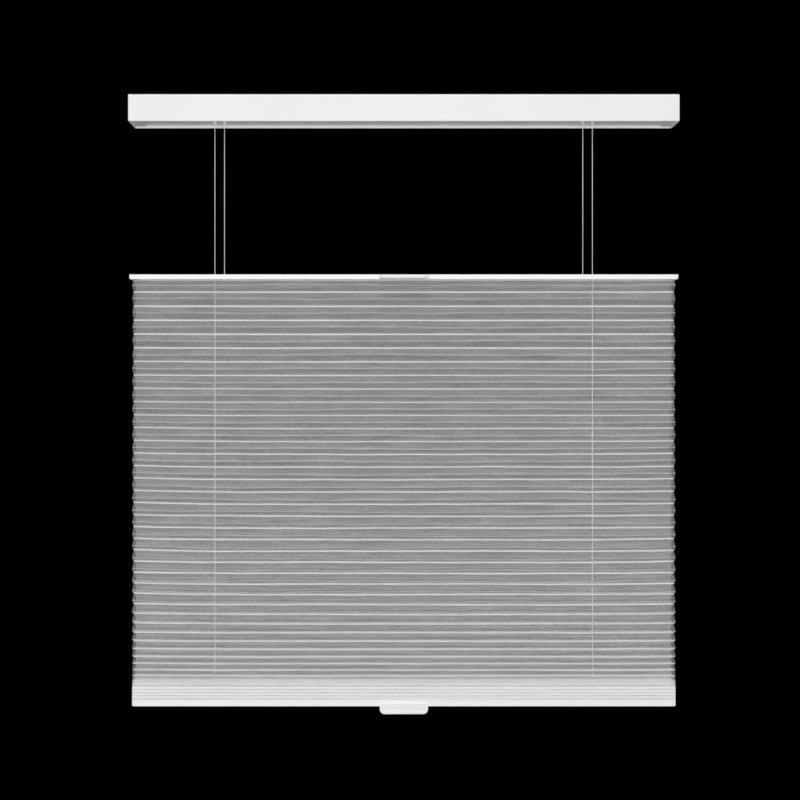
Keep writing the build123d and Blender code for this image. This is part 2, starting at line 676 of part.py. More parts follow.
def cell_heights():
    """The first cell is the cut one at the rail; below it the pitch falls towards the stack."""
    total = MID_BOTTOM - BOTTOM_TOP - 2 * FABRIC_GAP
    falling = CELL_COUNT - STACK_CELLS
    heights = []
    for i in range(1, CELL_COUNT):
        way_down = min(i / falling, 1)
        share = 1 - EVEN_SAG * way_down - (1 - EVEN_SAG) * way_down**SAG_POWER
        heights.append(STACK_PITCH + (OPEN_PITCH - STACK_PITCH) * share)
    scale = (total - FIRST_CELL) / sum(heights)
    return [FIRST_CELL] + [scale * h for h in heights]


def cell_outline(top, height, place):
    """The six corners of one cell, its ridges drooping more towards the bottom rail."""
    half = GLUE_WIDTH / 2
    reach = min(sqrt(FACET_LENGTH**2 - min(height / 2, FACET_LENGTH) ** 2), RIDGE_REACH_LIMIT)
    ridge = top - height * (1 / 2 + RIDGE_DROOP * place**DROOP_POWER)
    low = top - height
    front = CORD_Y - half
    back = CORD_Y + half
    front_corners = [(front, top), (front - reach, ridge), (front, low)]
    return front_corners + [(back, low), (back + reach, ridge), (back, top)]


def honeycomb_fabric():
    heights = cell_heights()
    tops = [MID_BOTTOM - FABRIC_GAP - sum(heights[:i]) for i in range(CELL_COUNT)]
    places = [i / (CELL_COUNT - 1) for i in range(CELL_COUNT)]
    cells = [cell_outline(*cell) for cell in zip(tops, heights, places)]
    fronts = [corner for cell in cells for corner in cell[:2]] + [cells[-1][2]]
    backs = [corner for cell in cells for corner in (cell[5], cell[4])] + [cells[-1][3]]
    neck_width = GLUE_WIDTH - 4 * LOOSE_FIT
    neck_top = MID_BOTTOM + RAIL_WALL
    neck_bottom = BOTTOM_TOP - RAIL_WALL + FABRIC_GAP
    with BuildPart() as fabric:
        with BuildSketch(Plane.YZ):
            with BuildLine():
                Polyline(*fronts, *reversed(backs), close=True)
            make_face()
            for cell in cells:
                inside = Polygon(*cell, align=None, mode=Mode.PRIVATE)
                offset(inside, -FABRIC_THICKNESS, kind=Kind.INTERSECTION, mode=Mode.SUBTRACT)
        extrude(amount=FABRIC_WIDTH / 2, both=True)
        for rail_width, low, high in (
            (MID_RAIL_WIDTH, tops[0], neck_top),
            (BOTTOM_RAIL_WIDTH, neck_bottom, cells[-1][2][1]),
        ):
            with BuildSketch(Plane.XY.offset(low)):
                with Locations((0, CORD_Y)):
                    Rectangle(rail_width - 2 * STRIP_LENGTH_LOSS, neck_width)
            extrude(amount=high - low)
        with BuildSketch(Plane.XY.offset(neck_top)):
            with Locations((-BOTTOM_CORD_X, CORD_Y), (BOTTOM_CORD_X, CORD_Y)):
                Circle(CORD_HOLE / 2)
        extrude(amount=neck_bottom - neck_top, mode=Mode.SUBTRACT)
    return fabric


# The pieces

save(headrail_profile(), "headrail_profile")
save(guide_pins(), "guide_roller_pins")
for word, side in SIDES.items():
    save(headrail_cap(side), f"headrail_end_cap_{word}")
    save(cord_bush(side * MID_CORD_X), f"mid_cord_bush_{word}")
    save(cord_bush(side * BOTTOM_CORD_X), f"bottom_cord_bush_{word}")
    save(cord_guide(side), f"cord_guide_{word}")
    mid_centre, bottom_centre = guide_rollers(side)
    save(roller(mid_centre), f"mid_cord_roller_{word}")
    save(roller(bottom_centre), f"bottom_cord_roller_{word}")

for word, side in {"mid": RIGHT, "bottom": LEFT}.items():
    save(motor_base(side), f"{word}_motor_base")
    save(motor_cover(side), f"{word}_motor_cover")
    save(motor_screws(side), f"{word}_motor_screws")
    save(motor_axles(side), f"{word}_motor_axles")
    save(cord_rotor(side), f"{word}_motor_cord_spool")
    save(storage_spool(side), f"{word}_motor_spring_spool")
    save(ribbon_spring(side), f"{word}_motor_spring")

MID_KNOT_Z = MID_TOP - RAIL_WALL - MID_ANCHOR_HEIGHT - KNOT_SEAT
BOTTOM_KNOT_Z = BOTTOM_STRIP_BOTTOM - BOTTOM_ANCHOR_HEIGHT - KNOT_SEAT
# On each spool the short cord lies in the lower groove and the long one in the upper groove.
for word, side in SIDES.items():
    groove = LOWER_GROOVE_Z if side == RIGHT else UPPER_GROOVE_Z
    cord = lift_cord(side, RIGHT, groove, MID_CORD_X, MID_ROLLER_Z, MID_KNOT_Z)
    save(cord, f"mid_cord_{word}")
    groove = LOWER_GROOVE_Z if side == LEFT else UPPER_GROOVE_Z
    cord = lift_cord(side, LEFT, groove, BOTTOM_CORD_X, BOTTOM_ROLLER_Z, BOTTOM_KNOT_Z)
    save(cord, f"bottom_cord_{word}")

MID_PIN_Z = MID_TOP - MID_HANDLE_DROP - HANDLE_THICKNESS / 2
BOTTOM_PIN_Z = BOTTOM_BOTTOM + BOTTOM_HANDLE_LAP / 2 + PIN_FIT
MID_SLOT_EDGE = RAIL_WALL - MID_RAIL_HEIGHT
MID_WEB_HOLES = [(MID_CORD_X, ANCHOR_BORE / 2), (BOTTOM_CORD_X, GROMMET_BODY / 2 + PIN_FIT)]
profile = rail_profile(MID_RAIL_WIDTH, MID_TOP, MID_RAIL_HEIGHT, MID_SLOT_EDGE, MID_WEB_HOLES, MID_PIN_Z)
save(profile, "mid_rail_profile")
profile = rail_profile(BOTTOM_RAIL_WIDTH, BOTTOM_TOP, BOTTOM_RAIL_HEIGHT, 0, [], BOTTOM_PIN_Z)
save(profile, "bottom_rail_profile")
strip = fabric_strip(MID_RAIL_WIDTH, MID_BOTTOM + RAIL_WALL, (MID_CORD_X, BOTTOM_CORD_X))
save(strip, "mid_rail_fabric_strip")
save(fabric_strip(BOTTOM_RAIL_WIDTH, BOTTOM_STRIP_BOTTOM, (BOTTOM_CORD_X,)), "bottom_rail_fabric_strip")
for word, side in SIDES.items():
    save(rail_cap(side, MID_RAIL_WIDTH, MID_TOP, MID_RAIL_HEIGHT), f"mid_rail_end_cap_{word}")
    save(rail_cap(side, BOTTOM_RAIL_WIDTH, BOTTOM_TOP, BOTTOM_RAIL_HEIGHT), f"bottom_rail_end_cap_{word}")
    save(mid_grommet(side * BOTTOM_CORD_X), f"mid_rail_grommet_{word}")
    save(cord_anchor(side * MID_CORD_X, MID_TOP - RAIL_WALL, MID_ANCHOR_HEIGHT), f"mid_cord_anchor_{word}")
    anchor = cord_anchor(side * BOTTOM_CORD_X, BOTTOM_STRIP_BOTTOM, BOTTOM_ANCHOR_HEIGHT)
    save(anchor, f"bottom_cord_anchor_{word}")

mid_grip_face = Plane(origin=(0, RAIL_FRONT, MID_TOP - MID_HANDLE_DROP), x_dir=(1, 0, 0), z_dir=(0, 0, -1))
save(with_pins(handle_grip(mid_grip_face, MID_HANDLE_LENGTH, 1), MID_PIN_Z), "mid_rail_handle")
bottom_grip_top = BOTTOM_BOTTOM + BOTTOM_HANDLE_LAP
bottom_grip_face = Plane(origin=(0, RAIL_FRONT, bottom_grip_top), x_dir=(1, 0, 0), z_dir=(0, -1, 0))
save(with_pins(handle_grip(bottom_grip_face, BOTTOM_HANDLE_LENGTH, -1), BOTTOM_PIN_Z), "bottom_rail_handle")

save(honeycomb_fabric(), "honeycomb_fabric")
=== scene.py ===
"""A cordless top-down bottom-up pleated blind with sheer honeycomb fabric, hung from its headrail.

Metres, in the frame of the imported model: the headrail's top is at z 0, X runs right, Y to the back.
"""

import json
import math

import bpy
import numpy as np
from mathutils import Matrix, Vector


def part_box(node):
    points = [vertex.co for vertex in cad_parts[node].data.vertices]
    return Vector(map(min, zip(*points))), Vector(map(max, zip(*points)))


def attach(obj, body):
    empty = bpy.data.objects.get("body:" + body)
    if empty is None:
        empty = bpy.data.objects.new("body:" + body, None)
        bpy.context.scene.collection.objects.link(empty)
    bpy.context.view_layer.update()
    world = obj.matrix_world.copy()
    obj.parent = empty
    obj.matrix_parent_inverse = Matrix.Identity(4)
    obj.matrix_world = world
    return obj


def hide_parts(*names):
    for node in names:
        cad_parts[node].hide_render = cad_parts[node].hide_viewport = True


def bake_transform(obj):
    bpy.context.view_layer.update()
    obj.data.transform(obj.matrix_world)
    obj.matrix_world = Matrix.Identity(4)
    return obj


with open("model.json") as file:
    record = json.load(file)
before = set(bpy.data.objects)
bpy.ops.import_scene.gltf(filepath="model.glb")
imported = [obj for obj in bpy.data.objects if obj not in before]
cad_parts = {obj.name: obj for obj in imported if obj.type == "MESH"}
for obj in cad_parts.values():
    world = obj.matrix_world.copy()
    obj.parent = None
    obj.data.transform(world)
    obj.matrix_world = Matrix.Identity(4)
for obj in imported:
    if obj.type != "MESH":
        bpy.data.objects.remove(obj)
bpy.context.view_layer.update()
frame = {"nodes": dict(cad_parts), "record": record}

MM = 0.001
SIDES = {"left": -1, "right": 1}

# ---------------------------------------------------------------- camera

CAMERA_X = -0.034  # a little left of the blind's middle
CAMERA_DISTANCE = 1.65  # from the headrail's front
CAMERA_DROP = 0.4436  # below the headrail's top
LENS = 51.2
SHIFT_X = 0.0245  # puts the blind back in the middle of the picture


def make_camera():
    camera = bpy.data.objects.new("camera", bpy.data.cameras.new("camera"))
    bpy.context.scene.collection.objects.link(camera)
    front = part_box("headrail_profile")[0].y
    camera.location = (CAMERA_X, front - CAMERA_DISTANCE, -CAMERA_DROP)
    camera.rotation_euler = (math.pi / 2, 0, 0)
    camera.data.lens = LENS
    camera.data.shift_x = SHIFT_X
    bpy.context.scene.camera = camera


make_camera()

# ---------------------------------------------------------------- places taken from the frame


def box_middle(node):
    low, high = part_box(node)
    return low.lerp(high, 0.5)


MID_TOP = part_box("mid_rail_profile")[1].z
MID_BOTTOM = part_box("mid_rail_profile")[0].z
BOTTOM_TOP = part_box("bottom_rail_profile")[1].z
CORD_Y = box_middle("mid_rail_fabric_strip").y
MID_CORD_X = box_middle("mid_cord_bush_right").x
BOTTOM_CORD_X = box_middle("bottom_cord_bush_right").x
BUSH_TIP_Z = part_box("mid_cord_bush_left")[0].z


# ---------------------------------------------------------------- materials


NOISE_SPREAD = (0.3, 0.7)  # most of a noise texture's values lie between these


class Shader:
    """One material under construction: short calls add its nodes and link them."""

    def __init__(self, name):
        self.material = bpy.data.materials.new(name)
        self.material.use_nodes = True
        self.tree = self.material.node_tree
        self.tree.nodes.clear()

    def add(self, kind, settings=None, inputs=None):
        node = self.tree.nodes.new("ShaderNode" + kind)
        for key, value in (settings or {}).items():
            setattr(node, key, value)
        for key, value in (inputs or {}).items():
            self.feed(node.inputs[key], value)
        return node

    def feed(self, socket, value):
        if isinstance(value, bpy.types.NodeSocket):
            self.tree.links.new(value, socket)
        else:
            socket.default_value = value

    def math(self, operation, a, b=0.0, clamp=False):
        settings = {"operation": operation, "use_clamp": clamp}
        return self.add("Math", settings, {0: a, 1: b}).outputs[0]

    def remap(self, value, low, high, to_low, to_high):
        inputs = {"Value": value, "From Min": low, "From Max": high}
        inputs.update({"To Min": to_low, "To Max": to_high})
        return self.add("MapRange", None, inputs).outputs["Result"]

    def scaled(self, vector, scale):
        return self.add("Mapping", None, {"Vector": vector, "Scale": scale}).outputs[0]

    def noise(self, vector, scale, detail=2.0, roughness=0.5):
        inputs = {"Vector": vector, "Scale": scale, "Detail": detail, "Roughness": roughness}
        return self.add("TexNoise", None, inputs).outputs[0]

    def blend(self, share, a, b):
        node = self.add("Mix", {"data_type": "RGBA"}, {"Factor": share})
        self.feed(node.inputs[6], a)
        self.feed(node.inputs[7], b)
        return node.outputs[2]

    def bump(self, height, distance, strength=1.0):
        inputs = {"Height": height, "Distance": distance, "Strength": strength}
        return self.add("Bump", None, inputs).outputs[0]

    def finish(self, surface):
        output = self.add("OutputMaterial")
        self.tree.links.new(surface, output.inputs["Surface"])
        return self.material


def shade(colour, factor):
    """The colour made lighter or darker, with alpha added."""
    return tuple(min(1.0, c * factor) for c in colour[:3]) + (1.0,)


def coated(name, colour, rough, peel_scale, peel_depth, uneven=0.03, specks=0.0, **numbers):
    """A painted or moulded surface: fine bumps of its skin, slight changes of gloss and of colour, and
    darker specks where it has them."""
    s = Shader(name)
    place = s.add("TexCoord").outputs["Object"]
    broad = s.noise(place, 9.0, 3.0)
    skin = s.noise(place, peel_scale, 2.0)
    fine = s.noise(place, peel_scale * 3.7, 3.0, 0.6)
    share = s.remap(broad, *NOISE_SPREAD, 0.0, 1.0)
    tint = s.blend(share, shade(colour, 1 - uneven), shade(colour, 1 + uneven))
    if specks:
        speck = s.remap(s.noise(place, peel_scale * 0.9, 5.0, 0.7), 0.66, 0.78, 0.0, specks)
        tint = s.blend(speck, tint, shade(colour, 0.7))
    slow_gloss = s.remap(broad, *NOISE_SPREAD, rough * 0.92, rough * 1.08)
    gloss = s.math("ADD", slow_gloss, s.remap(fine, *NOISE_SPREAD, -0.03, 0.03))
    height = s.math("ADD", skin, s.math("MULTIPLY", fine, 0.35))
    inputs = {"Base Color": tint, "Roughness": gloss, "Normal": s.bump(height, peel_depth)}
    inputs.update(numbers)
    return s.finish(s.add("BsdfPrincipled", None, inputs).outputs[0])


def drawn_steel(name, colour, rough):
    """Steel with fine lines along the way it was drawn or rolled."""
    s = Shader(name)
    place = s.add("TexCoord").outputs["Object"]
    lines = s.noise(s.scaled(place, (900.0, 900.0, 9000.0)), 1.0, 3.0, 0.6)
    broad = s.noise(place, 60.0, 2.0)
    tint = s.blend(broad, shade(colour, 0.9), shade(colour, 1.08))
    line_gloss = s.remap(lines, *NOISE_SPREAD, rough - 0.06, rough + 0.08)
    gloss = s.math("ADD", line_gloss, s.remap(broad, *NOISE_SPREAD, -0.03, 0.03))
    inputs = {"Base Color": tint, "Metallic": 1.0, "Roughness": gloss, "Normal": s.bump(lines, 0.02 * MM)}
    return s.finish(s.add("BsdfPrincipled", None, inputs).outputs[0])


CORD_LAY = 2.2 * MM  # length of one full turn of the braid's strands
BRAID_STRANDS = 4
BRAID_DEPTH = 0.05 * MM
CORD_COLOUR = (0.97, 0.97, 0.96)


def braided_cord():
    """Strands crossing both ways round the cord, in its own UVs: turns round it, metres along it."""
    s = Shader("braided_lift_cord")
    uv = s.add("UVMap", {"uv_map": "cord"}).outputs[0]
    split = s.add("SeparateXYZ", None, {0: uv})
    around = s.math("MULTIPLY", split.outputs[0], BRAID_STRANDS * math.tau)
    along = s.math("MULTIPLY", split.outputs[1], BRAID_STRANDS * math.tau / CORD_LAY)
    right = s.math("SINE", s.math("ADD", around, along))
    left = s.math("SINE", s.math("SUBTRACT", around, along))
    strands = s.math("MAXIMUM", right, left)
    fuzz = s.noise(uv, 900.0, 3.0)
    height = s.math("ADD", strands, s.math("MULTIPLY", fuzz, 0.5))
    # Painted shade: the cord's colour is made darker in the gaps between its strands and lighter on their
    # crowns.
    shaded_gaps, lit_crowns = shade(CORD_COLOUR, 0.72), shade(CORD_COLOUR, 1.02)
    tint = s.blend(s.remap(height, -0.2, 1.1, 0.0, 1.0), shaded_gaps, lit_crowns)
    inputs = {"Base Color": tint, "Roughness": s.remap(fuzz, *NOISE_SPREAD, 0.62, 0.78)}
    inputs.update({"Sheen Weight": 0.3, "Normal": s.bump(height, BRAID_DEPTH)})
    return s.finish(s.add("BsdfPrincipled", None, inputs).outputs[0])


THREAD_COVER = 0.147  # share of light that one layer of the sheer cloth stops, seen square on
CREASE_COVER = 0.76  # what is added to that where it is creased or soaked with glue
EDGE_ON = 0.07  # least cosine that the cloth's slant is reckoned with
CLOTH_COLOUR = (0.993, 0.993, 0.99)
CLOTH_GLOW = 0.15  # share of the threads' light that comes through them
CLOTH_BUMP = 0.03 * MM
# Noise scales per metre along the blind's width and down the cloth.
STREAK_SCALE, CLOUD_SCALE, FIBRE_SCALE = (13.0, 230.0, 1.0), (16.0, 90.0, 1.0), (700.0, 2600.0, 1.0)


def sheer_fabric():
    """Spun cloth that hides little behind it. Its threads close up where it is creased or glued."""
    s = Shader("sheer_honeycomb_fabric")
    uv = s.add("UVMap", {"uv_map": "cloth"}).outputs[0]
    crease = s.add("Attribute", {"attribute_name": "crease"}).outputs["Fac"]
    streaks = s.noise(s.scaled(uv, STREAK_SCALE), 1.0, 1.0, 0.5)
    clouds = s.noise(s.scaled(uv, CLOUD_SCALE), 1.0, 1.0, 0.5)
    fibres = s.noise(s.scaled(uv, FIBRE_SCALE), 1.0, 3.0, 0.7)
    streaky = s.remap(streaks, 0.25, 0.75, -0.2, 0.2)
    patchy = s.math("ADD", streaky, s.remap(clouds, *NOISE_SPREAD, -0.1, 0.1))
    fibrous = s.remap(fibres, *NOISE_SPREAD, -0.07, 0.07)
    uneven = s.math("ADD", 1.0, s.math("ADD", patchy, fibrous))
    cover = s.math("MULTIPLY", uneven, THREAD_COVER)
    cover = s.math("ADD", cover, s.math("MULTIPLY", crease, CREASE_COVER), clamp=True)
    # Threads hide more of what is behind a cloth seen at a slant, as a longer way through glass does.
    facing = s.add("LayerWeight", None, {"Blend": 0.5}).outputs["Facing"]
    slant = s.math("MAXIMUM", s.math("SUBTRACT", 1.0, facing), EDGE_ON)
    open_share = s.math("POWER", s.math("SUBTRACT", 1.0, cover), s.math("DIVIDE", 1.0, slant))
    share = s.remap(streaks, *NOISE_SPREAD, 0.0, 1.0)
    tint = s.blend(share, shade(CLOTH_COLOUR, 0.99), shade(CLOTH_COLOUR, 1.0))
    bump = s.bump(s.math("ADD", fibres, streaks), CLOTH_BUMP, 0.6)
    inputs = {"Base Color": tint, "Roughness": s.remap(fibres, *NOISE_SPREAD, 0.7, 0.85)}
    inputs.update({"Specular IOR Level": 0.25, "Normal": bump})
    threads = s.add("BsdfPrincipled", None, inputs).outputs[0]
    glow = s.add("BsdfTranslucent", None, {"Color": tint, "Normal": bump}).outputs[0]
    cloth = s.add("MixShader", None, {0: CLOTH_GLOW, 1: threads, 2: glow}).outputs[0]
    holes = s.add("BsdfTransparent").outputs[0]
    return s.finish(s.add("MixShader", None, {0: open_share, 1: cloth, 2: holes}).outputs[0])


ENAMEL_COAT = {"Coat Weight": 0.15, "Coat Roughness": 0.3}
NYLON_GLOW = {"Subsurface Weight": 0.15, "Subsurface Scale": 2 * MM}
WHITE_PAINT, WHITE_PLASTIC, MILKY_PLASTIC = (0.9, 0.9, 0.895), (0.865, 0.865, 0.855), (0.85, 0.86, 0.85)
BLACK_PLASTIC, NATURAL_NYLON, STEEL = (0.03, 0.03, 0.032), (0.82, 0.81, 0.76), (0.6, 0.6, 0.61)

# For a coated surface: colour, roughness, scale and depth of its skin's bumps, unevenness, specks.
MATERIALS = {
    "white_enamel": coated("white_powder_coat", WHITE_PAINT, 0.36, 620.0, 0.035 * MM, 0.012, **ENAMEL_COAT),
    "white_plastic": coated("white_moulded_plastic", WHITE_PLASTIC, 0.44, 1500.0, 0.02 * MM, 0.015),
    "strip_plastic": coated("milky_strip_plastic", MILKY_PLASTIC, 0.4, 900.0, 0.02 * MM, 0.02),
    "black_plastic": coated("black_moulded_plastic", BLACK_PLASTIC, 0.5, 1800.0, 0.03 * MM, 0.1, 0.12),
    "clear_nylon": coated("natural_nylon", NATURAL_NYLON, 0.34, 1100.0, 0.015 * MM, 0.03, **NYLON_GLOW),
    "steel": drawn_steel("drawn_steel", STEEL, 0.3),
    "lift_cord": braided_cord(),
    "sheer_fabric": sheer_fabric(),
}


def dress_cad_nodes():
    for part in frame["record"]["subparts"]:
        node = frame["nodes"][part["node"]]
        node.data.materials.clear()
        node.data.materials.append(MATERIALS[part["material_slot"]])


dress_cad_nodes()


def make_piece(name, points, faces, slot):
    mesh = bpy.data.meshes.new(name)
    mesh.from_pydata(points, [], faces)
    mesh.materials.append(MATERIALS[slot])
    mesh.polygons.foreach_set("use_smooth", [True] * len(mesh.polygons))
    piece = bpy.data.objects.new(name, mesh)
    bpy.context.scene.collection.objects.link(piece)
    return piece


def set_uv(mesh, layer_name, coordinates):
    """coordinates has one (u, v) for each corner of each face, in the mesh's own order."""
    layer = mesh.uv_layers.new(name=layer_name)
    layer.uv.foreach_set("vector", np.asarray(coordinates, np.float32).ravel())


def set_crease(mesh, values):
    """How creased or glued the cloth is at each point, from 0 to 1, for its material."""
    layer = mesh.attributes.new("crease", "FLOAT", "POINT")
    layer.data.foreach_set("value", np.asarray(values, np.float32))


# ---------------------------------------------------------------- lift cords

CORD_RADIUS = 0.45 * MM
CORD_SIDES = 10
KNOT_RADIUS = 1.0 * MM
KNOT_STEPS = 42
KNOT_SEAT = 0.9 * MM  # from the anchor's underside to the knot's middle
ROLLER_CORD_RADIUS = 5.45 * MM  # from a roller's axis to the cord over it
ROLLER_TURN_STEPS = 8
SPOOL_CORD_RADIUS = 10.0 * MM
SPOOL_RIM, SPOOL_GROOVE = 1.0 * MM, 3.0 * MM  # heights of a spool's rims and of its two grooves
WOUND_LEVELS = (-0.6 * MM, 0.3 * MM, -0.15 * MM)  # where each turn starts, from the groove's middle
WOUND_RADII = (9.55 * MM, 9.6 * MM, 10.25 * MM)
WOUND_CLIMB = 0.5 * MM  # how far a turn climbs
WOUND_STEPS = 40


def tube(name, centreline, radius=CORD_RADIUS):
    """A round cord along the centreline's points, with UVs that say turns round it and metres along it."""
    line = [Vector(p) for p in centreline]
    count = len(line)
    tangents = [(line[min(i + 1, count - 1)] - line[max(i - 1, 0)]).normalized() for i in range(count)]
    side = tangents[0].orthogonal().normalized()
    points, runs, run = [], [], 0.0
    for i, (centre, tangent) in enumerate(zip(line, tangents)):
        side = (side - tangent * side.dot(tangent)).normalized()
        other = tangent.cross(side)
        run += (centre - line[i - 1]).length if i else 0.0
        runs.append(run)
        for k in range(CORD_SIDES):
            turn = math.tau * k / CORD_SIDES
            points.append(centre + (side * math.cos(turn) + other * math.sin(turn)) * radius)
    faces, uvs = [], []
    for i in range(count - 1):
        for k in range(CORD_SIDES):
            low, high = i * CORD_SIDES, (i + 1) * CORD_SIDES
            after = (k + 1) % CORD_SIDES
            faces.append((low + k, low + after, high + after, high + k))
            u, u_after = k / CORD_SIDES, (k + 1) / CORD_SIDES
            uvs += [(u, runs[i]), (u_after, runs[i]), (u_after, runs[i + 1]), (u, runs[i + 1])]
    faces.append(tuple(reversed(range(CORD_SIDES))))
    faces.append(tuple(range((count - 1) * CORD_SIDES, count * CORD_SIDES)))
    for end in (0, -1):
        uvs += [(k / CORD_SIDES, runs[end]) for k in range(CORD_SIDES)]
    piece = make_piece(name, points, faces, "lift_cord")
    set_uv(piece.data, "cord", uvs)
    return piece


def knot(name, centre):
    """A small overhand knot: a short cord wound on itself below the anchor."""
    line = []
    for i in range(KNOT_STEPS + 1):
        turn = math.tau * i / KNOT_STEPS
        x = math.sin(turn) + 2 * math.sin(2 * turn)
        y = math.cos(turn) - 2 * math.cos(2 * turn)
        z = -math.sin(3 * turn)
        line.append(centre + Vector((x, y, 0.9 * z)) * (KNOT_RADIUS * 0.22))
    return tube(name, line, radius=KNOT_RADIUS * 0.36)


def headrail_route(drum_x, axis_y, groove_z, drop_x, roller_z):
    """From the spool's rim, tangent to it, over the guide roller and down through the bush."""
    reach = Vector((drop_x - drum_x, CORD_Y - axis_y))
    leave = math.atan2(reach.y, reach.x) + math.acos(SPOOL_CORD_RADIUS / reach.length)
    start_x = drum_x + SPOOL_CORD_RADIUS * math.cos(leave)
    start_y = axis_y + SPOOL_CORD_RADIUS * math.sin(leave)
    run = math.hypot(drop_x - start_x, CORD_Y - start_y)
    rise = roller_z - groove_z
    to_roller = run - ROLLER_CORD_RADIUS
    slope = math.atan2(rise, to_roller) + math.asin(ROLLER_CORD_RADIUS / math.hypot(to_roller, rise))
    along = Vector(((drop_x - start_x) / run, (CORD_Y - start_y) / run, 0))
    axis = Vector((drop_x, CORD_Y, roller_z)) - along * ROLLER_CORD_RADIUS
    line = [Vector((start_x, start_y, groove_z))]
    for i in range(ROLLER_TURN_STEPS + 1):
        turn = (math.pi / 2 + slope) - (math.pi / 2 + slope) * i / ROLLER_TURN_STEPS
        line.append(axis + (along * math.cos(turn) + Vector((0, 0, math.sin(turn)))) * ROLLER_CORD_RADIUS)
    line.append(Vector((drop_x, CORD_Y, BUSH_TIP_Z)))
    return line


def wound_turns(name, drum_x, axis_y, groove_z):
    """The turns that lie on the spool, side by side and then over each other."""
    line = []
    for level, radius in zip(WOUND_LEVELS, WOUND_RADII):
        for i in range(WOUND_STEPS):
            share = i / WOUND_STEPS
            turn = math.tau * share
            place = Vector((math.cos(turn) * radius, math.sin(turn) * radius, level + WOUND_CLIMB * share))
            line.append(Vector((drum_x, axis_y, groove_z)) + place)
    return tube(name, line)


def spool_grooves(rail):
    """Where the rail's cord spool turns, and the levels of its upper and lower groove."""
    low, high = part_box(f"{rail}_motor_cord_spool")
    centre = (low + high) / 2
    upper = high.z - SPOOL_RIM - SPOOL_GROOVE / 2
    return centre.x, centre.y, upper, upper - SPOOL_RIM - SPOOL_GROOVE


def make_cords():
    for rail, body, drop in (("mid", "mid_rail", MID_CORD_X), ("bottom", "bottom_rail", BOTTOM_CORD_X)):
        drum_x, axis_y, upper, lower = spool_grooves(rail)
        for word, side in SIDES.items():
            node = f"{rail}_cord_{word}"
            roller_low, roller_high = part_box(f"{rail}_cord_roller_{word}")
            roller_z = (roller_low.z + roller_high.z) / 2
            groove_z = lower if side * drum_x > 0 else upper
            route = headrail_route(drum_x, axis_y, groove_z, side * drop, roller_z)
            inside = tube(f"{node}_in_headrail", route)
            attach(inside, "headrail")
            turns = wound_turns(f"{node}_on_spool", drum_x, axis_y, groove_z)
            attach(turns, f"{rail}_motor_cord_spool")
            anchor = f"{rail}_cord_anchor_{word}"
            knot_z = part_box(anchor)[0].z - KNOT_SEAT
            knotted = knot(f"{node}_knot", Vector((side * drop, CORD_Y, knot_z)))
            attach(knotted, body)
            top = Vector((side * drop, CORD_Y, BUSH_TIP_Z))
            waist = Vector((side * drop, CORD_Y, MID_TOP))
            end = Vector((side * drop, CORD_Y, knot_z))
            pieces = [inside, turns, knotted]
            if rail == "mid":
                drop_piece = tube(f"{node}_drop", [top, end])
                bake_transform(drop_piece)
                pieces.append(drop_piece)
            else:
                above = tube(f"{node}_above_mid_rail", [top, waist])
                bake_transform(above)
                below = tube(f"{node}_through_cells", [waist, end])
                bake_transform(below)
                pieces += [above, below]
            for piece in pieces:
                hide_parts(node)


make_cords()

# ---------------------------------------------------------------- honeycomb fabric

FABRIC_WIDTH = 0.788
FABRIC_GAP = 0.3 * MM  # from either rail to the cloth
CELL_COUNT = 41
GLUE_WIDTH = 6.0 * MM
FACET_LENGTH = 13.05 * MM  # cloth from a joint to a ridge
REACH_LIMIT = 11.0 * MM  # most that a ridge stands out from its joints
FIRST_CELL = 17.6 * MM
OPEN_PITCH = 20.8 * MM
STACK_PITCH = 4.6 * MM
STACK_CELLS = 4
EVEN_SAG = 0.4  # the part of the pitch's fall that is even along the way down
SAG_POWER = 4.5  # how late the rest of it comes
RIDGE_DROOP = 0.34  # how far the lowest ridges hang below their cells' middles, as a share of the cells
DROOP_POWER = 1.5
GLUE_HALF = 0.15 * MM  # from a joint's middle to either cell's cloth
SEAM_HALF = 0.15 * MM  # half of the gap between a strip's two edges, where they meet in the glue
NECK_INSET = 0.3 * MM  # how far the cloth's folded end stands in from a joint's edges
NECK_STEP = 2 * MM  # cloth between two corners of the folded end, as its UVs have it
STEPS_ACROSS = 84
GROUPS = (1, 1, 1, 2, 4, 6, 6, 6, 6, 8)  # cells in each piece, from the top
# Places along a facet from its joint to its ridge, as shares, and how creased the cloth is there.
GLUED_STEPS = ((0.0, 1.0), (0.035, 1.0))
PLAIN_STEPS = ((0.1, 0.0), (0.3, 0.0), (0.5, 0.0), (0.7, 0.0), (0.93, 0.0))
RIDGE_STEPS = ((0.975, 0.3), (1.0, 0.35))
FACET_STEPS = GLUED_STEPS + PLAIN_STEPS + RIDGE_STEPS
RIDGE_START = 0.94  # of the way from a joint to its ridge
BOW_LIMIT = 0.28  # a slack facet's bow, as a share of the facet's own fall
FOLDING_PITCH = 7.4 * MM  # cells lower than this start to be pressed into the stack
NOSE_POWER = 8  # how square the noses of the stacked cells are
FOLDED_CREASE = 1.0  # how closed up the stacked cells' cloth is
BACK_CREASE = 0.4  # how sharp the ridges at the window side are, next to those at the front
WAVES = (0.62, 0.27, 0.13, 0.071)  # wavelengths of the cloth's wavering, in metres
JOINT_WAVER = 0.45 * MM
RIDGE_WAVER = 0.9 * MM
RIDGE_DEPTH_WAVER = 0.5 * MM
LOOSE_CELL = 10 * MM  # cells this high or higher waver in full
CELL_SAG = 2.4 * MM  # how far the cells' middles hang below their left ends
SAG_RISE = 0.8  # the part of the sag by which the left ends lie above a joint's even level
SAG_REACH = 5  # how near the ends the cells rise
RIGHT_RISE = 0.6  # the right ends' rise, as a share of the left ends'
WAVER_SEED = 41
random = np.random.default_rng(WAVER_SEED)


